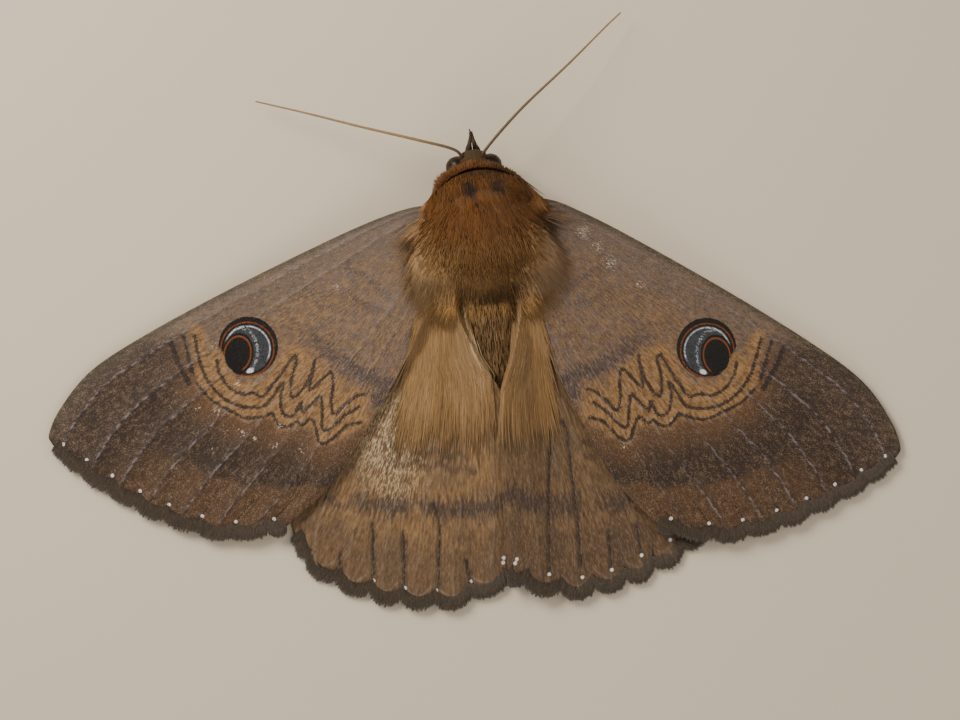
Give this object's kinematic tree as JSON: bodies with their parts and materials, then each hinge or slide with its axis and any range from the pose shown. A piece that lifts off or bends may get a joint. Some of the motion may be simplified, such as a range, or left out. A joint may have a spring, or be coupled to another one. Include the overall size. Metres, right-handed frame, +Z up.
{
  "type": "southern moon moth",
  "caption": "A large brown moth at rest with its wings spread flat, a still life-size model with eyespots on the forewings and a furry body.",
  "frame": {"origin": "on the floor under the middle of the moth's own box", "axes": "+X to the moth's right, across the spread wings, +Y towards the head within five degrees, +Z up"},
  "size_m": [0.0852, 0.0598, 0.0088],
  "materials": {
    "head_hair": "dull grey-brown tuft of hair-like scales",
    "eye": "glossy dark brown compound eye with fine facets",
    "palp_scales": "close dark brown scales",
    "antenna": "thin brown thread paling to straw at the tip",
    "collar_scales": "orange-brown long scales",
    "thorax_hair": "long soft tan hair with orange-brown tufts",
    "abdomen_hair": "short golden-brown hair",
    "forewing_scales": "matt brown scales with violet bloom, zigzag lines, a blue-ringed eyespot and a dark ragged fringe",
    "hindwing_scales": "lighter golden grey-brown scales with wavy lines and a dark scalloped fringe",
    "leg_scales": "dull brown scales"
  },
  "bodies": {
    "root": {"head": "head_hair", "eye_left": "eye", "eye_right": "eye", "palp_left": "palp_scales", "palp_right": "palp_scales", "antenna_left": "antenna", "antenna_right": "antenna", "collar": "collar_scales", "thorax": "thorax_hair", "abdomen": "abdomen_hair", "forewing_left": "forewing_scales", "forewing_right": "forewing_scales", "hindwing_left": "hindwing_scales", "hindwing_right": "hindwing_scales", "leg_fore_left": "leg_scales", "leg_fore_right": "leg_scales", "leg_mid_left": "leg_scales", "leg_mid_right": "leg_scales", "leg_hind_left": "leg_scales", "leg_hind_right": "leg_scales"}
  },
  "joints": []
}
